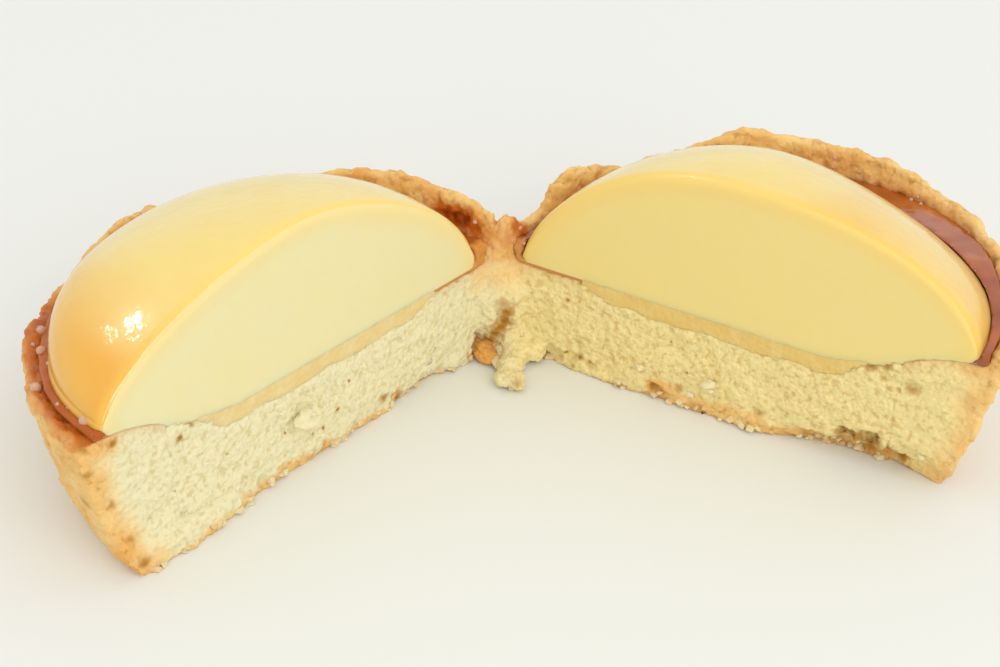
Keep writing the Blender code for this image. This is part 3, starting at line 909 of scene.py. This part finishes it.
def keep_crumb(case, zones):
    """Keeps how open the crumb is at each point, how well baked, and how far it takes the right half's
    shaded colours instead of the left half's lit ones.
    """
    crumb, bake = np.where(zones.skin, 0.0, 1.0), np.zeros(len(zones.points))
    cut, torn = np.flatnonzero(zones.cut), zones.torn
    from_skin = distances(zones.points[cut], zones.points[zones.skin][::3], 9.0 * MM)
    reach = skin_reach(zones)[cut] * (1.0 + 0.8 * wander(zones.points[cut], 2.5 * MM))
    crumb[cut] = smooth(0.15, 1.0, from_skin / reach)
    crumb[torn] = fall(15.5, 18.5, zones.points[torn, 2])
    at_ends = rise(22.0, 32.0, zones.own[cut, 0])
    bake[cut] = fall(1.0, 8.0, from_skin) * (0.25 + 0.75 * at_ends)
    near = fall(4.0, 9.0, zones.from_hinge[torn])
    bake[torn] = 0.8 * near * rise(8.0, 15.0, zones.points[torn, 2])
    keep_value(case, "crumb", crumb)
    keep_value(case, "bake", bake)
    keep_value(case, "warm", rise(-7.0, 7.0, across_hinge(zones.points)))


def soaked_crust(zones):
    """How far caramel has soaked in: beside the pools, and over the rim at the left end."""
    pools = [points_of(bpy.data.objects["caramel_glossy_" + half.name]) for half in HALVES]
    from_caramel = distances(zones.points, np.concatenate(pools)[::2], 6.0 * MM)
    soak = fall(0.3, 1.8, from_caramel) * np.where(zones.cut, 0.1, 0.2)
    flooded = zones.rim & zones.left
    patchy = np.clip(0.7 + 0.9 * wander(zones.points[flooded], 3.0 * MM), 0.2, 1.0)
    on_top = 0.3 * patchy * smooth(0.0, 0.5, zones.normals[flooded, 2])
    lip = 0.5 * fall(36.4, 37.8, np.linalg.norm(zones.own[flooded, :2], axis=1))
    at_end = rise(12.0, 24.0, zones.own[flooded, 0]) * rise(19.0, 23.5, zones.own[flooded, 2])
    soak[flooded] = np.maximum(soak[flooded], (on_top + lip) * at_end)
    return soak


def browned_foot(zones):
    """How browned the foot of each cut face is, in patches."""
    x, z = zones.own[:, 0], zones.own[:, 2]
    foot = fall(0.8, 2.6, z) * (rise(-18.0, -8.0, x) * fall(22.0, 27.0, x))
    browned = np.flatnonzero(zones.cut & (foot > 0.0))
    stain = np.zeros(len(foot))
    patches = smooth(-0.3, 0.5, wander(zones.points[browned], 1.6 * MM))
    stain[browned] = 0.4 * foot[browned] * patches
    return np.where(zones.left, 0.6, 1.0) * stain


def make_crust(context):
    """Both halves of the baked case and the torn web between them."""
    sizes, colours = context.scene.tart_sizes, context.scene.tart_colours
    case = solid_copy("crust", "crust_shell")
    even_mesh(case, sizes.crust_mesh)
    apply_modifier(case, "SMOOTH", factor=0.5, iterations=3)
    push(case, LUMPS)

    zones = Zones(case)
    swell_inside(case, zones)
    skin = weigh(case, "skin", zones.skin * rise(0.5, 2.5, zones.own[:, 2]))
    cloudy(case, 5.0 * MM, 0.7 * MM, skin)
    zones = Zones(case)
    refine(case, zones.cut | zones.rim)
    refine(case, Zones(case).cut)

    zones = Zones(case)
    keep_crumb(case, zones)
    opened = weigh(case, "opened", zones.cut)
    baked = weigh(case, "baked", zones.skin * rise(0.3, 1.5, zones.own[:, 2]))
    rim = weigh(case, "rim", zones.rim)
    crumble(case, sizes, opened, baked, rim)
    mark(case, "soak", SOAKED, soaked_crust(zones))
    mark(case, "stain", STAINS_AND_SHADE, browned_foot(zones))

    apply_modifier(case, "DECIMATE", ratio=sizes.crust_share)
    points = points_of(case)
    points[:, 2] = np.maximum(points[:, 2], 0.0)
    place_points(case, points)
    finish_piece(case, "crust", [material("baked_shortcrust", baked_crumb, colours)], "crust")


def on_cut(half, piece, depth, squareness):
    """True for the points of a piece that face squarely out of its cut, down to a depth."""
    own, facing = half.own(points_of(piece)), cut_facing(half, normals_of(piece))
    return (own[:, 1] < depth) & (facing > squareness)


def cut_layer(half, node, name, spacing, side_swell):
    """A layer between others: its solid, swollen to close the gaps, with a fine cut face.

    Returns the piece, and for each of its points whether it lies on the cut face.
    """
    piece = solid_copy(node, name)
    face_outward(piece)
    even_mesh(piece, spacing)
    points, normals = points_of(piece), normals_of(piece)
    grow = np.where(normals[:, 2] > 0.5, LAYER_GAP, side_swell)[:, None] * normals
    grow -= (grow[:, :2] @ np.array(half.into))[:, None] * np.array((*half.into, 0.0))
    place_points(piece, points + grow)
    for _ in range(2):
        refine(piece, on_cut(half, piece, 2.0 * MM, 0.6))
    return piece, on_cut(half, piece, 2.5 * MM, 0.3)


def make_sponge(context):
    """Both halves of the sponge, with torn open crumb on the cut."""
    sizes, colours = context.scene.tart_sizes, context.scene.tart_colours
    butter_sponge = material("butter_sponge", baked_crumb, colours)
    for half in HALVES:
        node, name = "sponge_" + half.name, "sponge_crumb_" + half.name
        piece, face = cut_layer(half, node, name, sizes.sponge_mesh, 1.1 * MM)
        push(piece, LUMPS)
        crumble(piece, sizes, weigh(piece, "opened", face))
        keep_value(piece, "crumb", np.ones(len(face)))
        # The right half's sponge takes the shaded crumb colours, the left one the lit ones
        keep_value(piece, "warm", np.full(len(face), half is RIGHT))
        mark(piece, "stain", STAINS_AND_SHADE)
        finish_piece(piece, "sponge", [butter_sponge], node)


def make_custard_layer(context):
    """Both halves of the thin custard layer, finely broken on the cut."""
    sizes, colours = context.scene.tart_sizes, context.scene.tart_colours
    for half in HALVES:
        node, name = "custard_layer_" + half.name, "custard_strip_" + half.name
        piece, face = cut_layer(half, node, name, sizes.sponge_mesh * 0.8, LAYER_GAP)
        group = weigh(piece, "opened", face)
        cloudy(piece, 2.0 * MM, 0.3 * MM, group)
        celled(piece, 0.9 * MM, 0.15 * MM, group)
        mark(piece, "stain", STAINS_AND_SHADE)
        custard = material("baked_custard_" + half.name, baked_custard, colours, half.name)
        finish_piece(piece, "custard_layer", [custard], node)


# ----------------------------------------------------------------------- pudding and caramel

DOME_COLUMNS = 64  # from the middle to the edge
DOME_ROWS = 24  # from the underside to the top
DOME_STEPS = 110  # round each half
CUT_ROUNDING = 1.4 * MM


def rounded_cut(placed, below, outward, surface):
    """Rounds the edge between a pudding's cut face and its dome.

    below is how deep each point lies under the dome, and outward the dome's own direction.
    """
    share = np.clip(below / CUT_ROUNDING, 0.0, 1.0)
    near = np.clip(placed[:, 1] / CUT_ROUNDING, 0.0, 1.0)
    on_cut = placed[:, 1] < 1e-7
    turn = math.pi / 4 * np.where(on_cut, 1.0 - share, 1.0 - near)
    little, much = CUT_ROUNDING * (1.0 - np.cos(turn)), CUT_ROUNDING * (1.0 - np.sin(turn))
    move = np.where(on_cut, much - below, little)
    moving = (on_cut & (share < 1.0)) | (surface & (near < 1.0))
    placed -= np.where(moving, move, 0.0)[:, None] * outward
    placed[:, 1] = np.where(moving, np.where(on_cut, little, much), placed[:, 1])
    return placed


def swung_grid(name):
    """A solid of unit size: a grid from the axis outward and upward, swung half a turn."""
    bpy.ops.object.select_all(action="DESELECT")
    bpy.ops.mesh.primitive_grid_add(
        x_subdivisions=DOME_COLUMNS,
        y_subdivisions=DOME_ROWS,
        size=1.0,
        location=(0.5, 0.0, 0.5),
        rotation=(math.pi / 2, 0.0, 0.0),
    )
    piece = bpy.context.object
    piece.name = piece.data.name = name
    bpy.ops.object.transform_apply(location=True, rotation=True, scale=True)
    with editing(piece):
        bpy.ops.mesh.spin(steps=DOME_STEPS, angle=math.pi, center=(0, 0, 0), axis=(0, 0, 1))
        bpy.ops.mesh.select_all(action="SELECT")
        bpy.ops.mesh.remove_doubles(threshold=1e-5)
    return piece


def shape_dome(half, piece):
    """Moves the points of a swung grid to the pudding's form.

    Returns for each point its angle, its share of the way to the edge, how deep it lies under
    the dome and how far behind the cut.
    """
    unit = points_of(piece)
    swung = np.arctan2(np.abs(unit[:, 1]), unit[:, 0])
    angle = swung - 0.42 * np.sin(2 * swung)  # closer together towards the cut
    share = np.sin(math.pi / 2 * np.clip(np.hypot(unit[:, 0], unit[:, 1]), 0.0, 1.0))
    up = 1.0 - (1.0 - unit[:, 2]) ** 1.7  # closer together towards the top
    edge = half.pudding_edge(angle)
    closing = LAYER_GAP + 0.6 * MM * rise(18.5, 20.5, share * edge * np.cos(angle))
    under = half.pudding_underside(share, angle) - closing
    top = half.pudding_top(share, angle)
    radius = share * edge + PUDDING_BULGE * np.sin(math.pi * up) * smooth(0.9, 1.0, share)
    behind = np.where(np.sin(angle) > 1e-6, radius * np.sin(angle), 0.0)
    placed = np.stack([radius * np.cos(angle), behind, under + (top - under) * up], axis=1)

    slope = (half.pudding_top(np.clip(share - 0.01, 0, 1), angle) - top) / (0.01 * edge)
    length = np.sqrt(1.0 + slope**2)
    outward = np.stack([slope * np.cos(angle) / length, np.zeros(len(slope)), 1.0 / length], axis=1)
    below = np.minimum((top - placed[:, 2]) / length, edge * (1.0 - share))
    surface = (unit[:, 2] > 1.0 - 1e-5) | (share > 1.0 - 1e-6)
    placed = rounded_cut(placed, np.maximum(below, 0.0), outward, surface)
    place_points(piece, half.world(placed))
    return angle, share, below, behind


def keep_glaze(half, piece, angle, share, below, behind):
    """Keeps the soaked band along the dome's edge of the cut, and how amber the dome is."""
    band = 0.35 if half is LEFT else 0.5
    soaked = np.where(behind < 1e-7, fall(0.2, 4.5, below), fall(0.0, 2.5, behind))
    keep_value(piece, "skin", band * soaked)
    x, y = share * np.cos(angle), share * np.sin(angle)
    far = smooth(0.4, 1.0, x)
    if half is RIGHT:
        far = 0.45 * smooth(0.0, 0.45, x) * (1.0 - 0.5 * smooth(0.6, 0.95, x))
    front = 1.0 - smooth(0.0, 0.75, y)
    amber = 0.4 * smooth(0.74, 1.0, share) + far * (0.45 + 0.45 * front)
    keep_value(piece, "glaze", np.clip(amber, 0.0, 1.0))


def make_pudding(context):
    """Two half domes of set custard, glazed outside and satin where cut."""
    colours = context.scene.tart_colours
    glazed = material("glazed_set_custard", glazed_pudding, colours)
    for half in HALVES:
        piece = swung_grid("pudding_dome_" + half.name)
        form = shape_dome(half, piece)
        face_outward(piece)
        keep_glaze(half, piece, *form)

        cut = material("cut_set_custard_" + half.name, cut_pudding, colours, half.name)
        finish_piece(piece, "pudding", [glazed, cut], "pudding_" + half.name)
        facing = cut_facing(half, read(piece.data.polygons, "normal"))
        piece.data.polygons.foreach_set("material_index", (facing > 0.72).astype(np.int32))
        activate(piece)
        bpy.ops.object.shade_smooth_by_angle(angle=math.radians(55))


def make_caramel(context):
    """The film under each pudding's edge and the pool between that edge and the rim."""
    colours = context.scene.tart_colours
    for half in HALVES:
        node = "caramel_" + half.name
        piece = solid_copy(node, "caramel_glossy_" + half.name)
        with editing(piece):
            bpy.ops.mesh.normals_make_consistent(inside=False)
            bpy.ops.transform.shrink_fatten(value=0.45 * MM)
        own = half.own(points_of(piece))
        own[:, 1] = np.where(own[:, 1] < 0.1 * MM, 0.3 * MM, own[:, 1])
        own[:, 2] -= 0.25 * MM * smooth(0.3, 0.8, normals_of(piece)[:, 2])
        place_points(piece, half.world(own))
        even_mesh(piece, 0.3 * MM)
        apply_modifier(piece, "SMOOTH", factor=0.5, iterations=3)
        cloudy(piece, 6.0 * MM, 0.4 * MM)
        at_hinge = fall(-34.0, -32.5, half.own(points_of(piece))[:, 0])
        cloudy(piece, 1.6 * MM, 1.0 * MM, weigh(piece, "hinge_end", at_hinge))

        # The knife wiped the caramel thin along the cut
        x, y, _ = half.own(points_of(piece)).T
        middle = (0.3 + 0.7 * rise(-25.0, -22.0, x)) * fall(32.0, 33.5, x)
        keep_value(piece, "wiped", fall(1.0, 2.0, y) * middle)
        sugar = material("burnt_sugar_caramel_" + half.name, burnt_sugar, colours, half.name)
        finish_piece(piece, "caramel", [sugar], node)


# ------------------------------------------------------------------------- crumbs and bubbles


def join_shapes(name, shapes):
    """One piece from many small meshes, each given as a bmesh."""
    mesh = bpy.data.meshes.new(name)
    whole = bmesh.new()
    for shape in shapes:
        part = bpy.data.meshes.new("part")
        shape.to_mesh(part)
        shape.free()
        whole.from_mesh(part)
        bpy.data.meshes.remove(part)
    whole.to_mesh(mesh)
    whole.free()
    made = bpy.data.objects.new(name, mesh)
    bpy.context.scene.collection.objects.link(made)
    return made


# Bubbles that stand out in the view: the pixel and the radius in millimetres
SEEN_BUBBLES = (
    (41, 331, 0.75), (41, 351, 0.7), (33, 345, 0.35), (36, 388, 0.8), (86, 421, 1.0),
    (475, 222, 0.4), (520, 228, 0.4), (512, 240, 0.3), (524, 243, 0.3),
    (835, 158, 0.35), (833, 167, 0.3), (859, 172, 0.3), (918, 197, 0.35), (921, 204, 0.3),
)


def make_bubbles(context):
    """Bubbles on the caramel: the ones that stand out in the view, and small ones all round."""
    colours, sizes = context.scene.tart_colours, context.scene.tart_sizes
    pools = [bpy.data.objects["caramel_glossy_" + half.name] for half in HALVES]
    bubbles = []
    for across, down, radius in SEEN_BUBBLES:
        place = nearest_place((*pools, bpy.data.objects["crust_shell"]), across, down)
        if place is not None:
            bubbles.append((place, radius * MM))
    draw = random.Random(7)
    for half, pool in zip(HALVES, pools):
        points, normals = points_of(pool), normals_of(pool)
        tops = np.flatnonzero((normals[:, 2] > 0.75) & (half.own(points)[:, 1] > 4 * MM))
        for _ in range(sizes.bubbles):
            bubbles.append((Vector(points[draw.choice(tops)]), draw.uniform(0.15, 0.45) * MM))

    shapes = []
    for place, radius in bubbles:
        shapes.append(bmesh.new())
        bmesh.ops.create_icosphere(shapes[-1], subdivisions=2, radius=radius)
        bmesh.ops.translate(shapes[-1], verts=shapes[-1].verts, vec=place)
    piece = join_shapes("caramel_bubbles", shapes)
    piece.data.shade_smooth()
    finish_piece(piece, "caramel", [material("sugar_bubble", sugar_bubble, colours)])


def crumb_shape(draw, place, radius):
    """An uneven crumb, flattened where it rests on the floor."""
    shape = bmesh.new()
    fineness = 3 if radius > 0.8 * MM else 2
    bmesh.ops.create_icosphere(shape, subdivisions=fineness, radius=radius)
    offset = Vector((draw.random(), draw.random(), draw.random())) * 100
    for vert in shape.verts:
        spot = vert.co / radius
        lumpy = noise.noise(spot * 0.9 + offset) + 0.45 * noise.noise(spot * 2.6 + offset)
        vert.co *= 1.0 + 0.8 * lumpy
    stretch = Vector((draw.uniform(0.8, 1.4), draw.uniform(0.8, 1.4), 0.85))
    bmesh.ops.scale(shape, verts=shape.verts, vec=stretch)
    bmesh.ops.translate(shape, verts=shape.verts, vec=place)
    for vert in shape.verts:
        vert.co.z = max(vert.co.z, 0.02 * MM)
    return shape


# Crumbs at the foot of the hinge: the pixel, the radius in millimetres and how browned
HINGE_CRUMBS = (
    (484, 351, 1.6, 1.0), (494, 347, 1.7, 0.9), (476, 350, 1.2, 0.8), (502, 350, 1.4, 0.4),
    (511, 351, 1.6, 0.05), (521, 351, 1.5, 0.05), (529, 350, 1.1, 0.15), (499, 361, 1.0, 0.25),
    (505, 367, 1.4, 0.1), (513, 375, 1.2, 0.2), (519, 366, 0.9, 0.15), (490, 338, 1.5, 1.0),
    (522, 337, 1.6, 0.1),
)


# Crumbs that stick to the cut faces: the pixel and the radius in millimetres
FACE_CRUMBS = (
    (308, 417, 1.5), (313, 413, 1.0), (708, 385, 0.7), (711, 390, 0.45), (640, 367, 0.6),
    (517, 246, 0.6), (524, 249, 0.5), (527, 243, 0.4), (921, 455, 0.6), (690, 393, 0.5),
)


def make_base_crumbs(context):
    """Crumbs on the cut faces, at the foot of the hinge and along the foot of each cut."""
    colours, sizes = context.scene.tart_colours, context.scene.tart_sizes
    draw = random.Random(11)
    shapes, tones = [], []

    def crumb(place, radius, tone=None):
        """Adds a crumb, of a random tone where none is given."""
        shapes.append(crumb_shape(draw, place, radius))
        tone = draw.uniform(0.1, 0.6) if tone is None else tone
        tones.extend([tone] * len(shapes[-1].verts))

    faces = ("crust_shell", "sponge_crumb_left", "sponge_crumb_right")
    faces = [bpy.data.objects[name] for name in faces]
    for across, down, radius in FACE_CRUMBS:
        place = nearest_place(faces, across, down)
        if place is not None:
            crumb(place, radius * MM, 0.0)
    for across, down, radius, tone in HINGE_CRUMBS:
        ray, height = sight(across, down), 0.8 * radius * MM
        crumb(CAMERA_PLACE + ray * ((height - CAMERA_PLACE.z) / ray.z), radius * MM, tone)
    points, normals = points_of(faces[0]), normals_of(faces[0])
    left = in_left_half(points)
    for half in HALVES:
        own, facing = half.own(points), cut_facing(half, normals)
        foot = (facing > 0.2) & (own[:, 2] < 1.4 * MM) & (own[:, 1] < 6 * MM)
        foot = np.flatnonzero(foot & (left == (half is LEFT)))
        for _ in range(sizes.base_crumbs):
            place = Vector(points[draw.choice(foot)])
            radius = draw.uniform(0.25, 0.7) * MM
            place.z = max(place.z, radius * 0.5)
            crumb(place, radius)
    crumbs = join_shapes("clinging_crumbs", shapes)
    keep_value(crumbs, "tone", tones)
    finish_piece(crumbs, "crust", [material("clinging_crumb", loose_crumb, colours)])


# ------------------------------------------------------------------------------------- stage


KEY_PLACE, KEY_TARGET = Vector((0.45, -0.8, 0.75)), Vector((0.0, 0.0, 0.02))
KEY_SIZE, KEY_POWER = 0.9, 4.5
TENT_STRENGTH = 0.93
SMALL_LIGHT = 0.3  # lights that are smaller than this are only seen mirrored


def make_stage(context):
    """Camera, plain pale floor and soft studio light."""
    scene = context.scene
    camera = bpy.data.cameras.new("view")
    camera.sensor_width = SENSOR
    camera.lens = FOCAL_PIXELS / VIEW_WIDTH * SENSOR
    camera.clip_start, camera.clip_end = 0.01, 20.0
    viewer = bpy.data.objects.new("view", camera)
    viewer.matrix_world = camera_matrix()
    scene.collection.objects.link(viewer)
    scene.camera = viewer
    scene.view_settings.view_transform = "Standard"

    bpy.ops.object.select_all(action="DESELECT")
    bpy.ops.mesh.primitive_plane_add(size=6.0)
    floor = context.object
    floor.name = "floor"
    floor.data.materials.append(material("matt_pale_board", matt_board, scene.tart_colours))
    floor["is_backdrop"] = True

    scene.world = bpy.data.worlds.new("white_tent")
    scene.world.use_nodes = True
    tent = scene.world.node_tree.nodes["Background"].inputs
    tent["Color"].default_value = (1.0, 1.0, 1.0, 1.0)
    tent["Strength"].default_value = TENT_STRENGTH
    hang_light("key", KEY_PLACE, KEY_TARGET, KEY_SIZE, KEY_SIZE, KEY_POWER)


def hang_light(name, place, target, width, height, power):
    """A soft box that lights without being mirrored, or a small one that is only mirrored."""
    light = bpy.data.lights.new(name, "AREA")
    light.energy = power
    light.shape = "RECTANGLE"
    light.size, light.size_y = width, height
    lamp = bpy.data.objects.new(name, light)
    lamp.location = place
    lamp.rotation_euler = (target - place).to_track_quat("-Z", "Y").to_euler()
    lamp.visible_glossy = width < SMALL_LIGHT
    lamp.visible_diffuse = width > SMALL_LIGHT
    bpy.context.scene.collection.objects.link(lamp)


# Window glints on the domes: the pixel, the width and height of the light, and its power
GLINTS = (
    (134, 323, 0.1, 0.02, 0.7),
    (109, 335, 0.03, 0.015, 0.1),
    (184, 310, 0.02, 0.01, 0.05),
)
GLINT_DISTANCE = 0.6


def make_glints(context):
    """Small lights placed so that the dome mirrors them at the glints' pixels."""
    dome = bpy.data.objects["pudding_dome_left"]
    for index, (across, down, width, height, power) in enumerate(GLINTS):
        place, normal = spot_on(dome, across, down)
        inward = (place - CAMERA_PLACE).normalized()
        mirrored = inward - 2.0 * inward.dot(normal) * normal
        lamp_place = place + GLINT_DISTANCE * mirrored
        hang_light(f"glint_{index}", lamp_place, place, width, height, power)


# --------------------------------------------------------------------------------- the add-on


def operator(name, label, description, make):
    """An operator class that runs one making function."""

    def execute(self, context):
        make(context)
        return {"FINISHED"}

    body = {
        "__doc__": description,
        "bl_idname": "tart." + name,
        "bl_label": label,
        "execute": execute,
    }
    return type("TART_OT_" + name, (bpy.types.Operator,), body)


OPERATORS = (
    operator("stage", "Stage", "Make the camera, the floor and the light", make_stage),
    operator("caramel", "Caramel", "Make the caramel round both puddings", make_caramel),
    operator("crust", "Crust", "Make both halves of the baked case", make_crust),
    operator("sponge", "Sponge", "Make both halves of the sponge", make_sponge),
    operator("custard_layer", "Custard layer", "Make the thin custard", make_custard_layer),
    operator("pudding", "Pudding", "Make both half domes", make_pudding),
    operator("bubbles", "Bubbles", "Make the bubbles on the caramel", make_bubbles),
    operator("base_crumbs", "Base crumbs", "Make the clinging crumbs", make_base_crumbs),
    operator("glints", "Glints", "Light the glints on the dome", make_glints),
)


class TART_PT_panel(bpy.types.Panel):
    """Lists the steps that make the tart"""

    bl_idname = "TART_PT_panel"
    bl_label = "Custard Pudding Tart"
    bl_space_type = "VIEW_3D"
    bl_region_type = "UI"
    bl_category = "Tart"

    def draw(self, context):
        for step in OPERATORS:
            self.layout.operator(step.bl_idname)
        for group in (context.scene.tart_sizes, context.scene.tart_colours):
            for name in group.__annotations__:
                self.layout.prop(group, name)


CLASSES = (TartSizes, TartColours, *OPERATORS, TART_PT_panel)


def register():
    for item in CLASSES:
        bpy.utils.register_class(item)
    bpy.types.Scene.tart_sizes = PointerProperty(type=TartSizes)
    bpy.types.Scene.tart_colours = PointerProperty(type=TartColours)


def unregister():
    del bpy.types.Scene.tart_colours
    del bpy.types.Scene.tart_sizes
    for item in reversed(CLASSES):
        bpy.utils.unregister_class(item)


def main():
    register()
    for step in OPERATORS:
        getattr(bpy.ops.tart, step.bl_idname.split(".")[1])()
    boxes = {"cad": CAD_BOX, "visual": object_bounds()}
    {name: [list(corner) for corner in box] for name, box in boxes.items()}


if __name__ == "__main__":
    main()
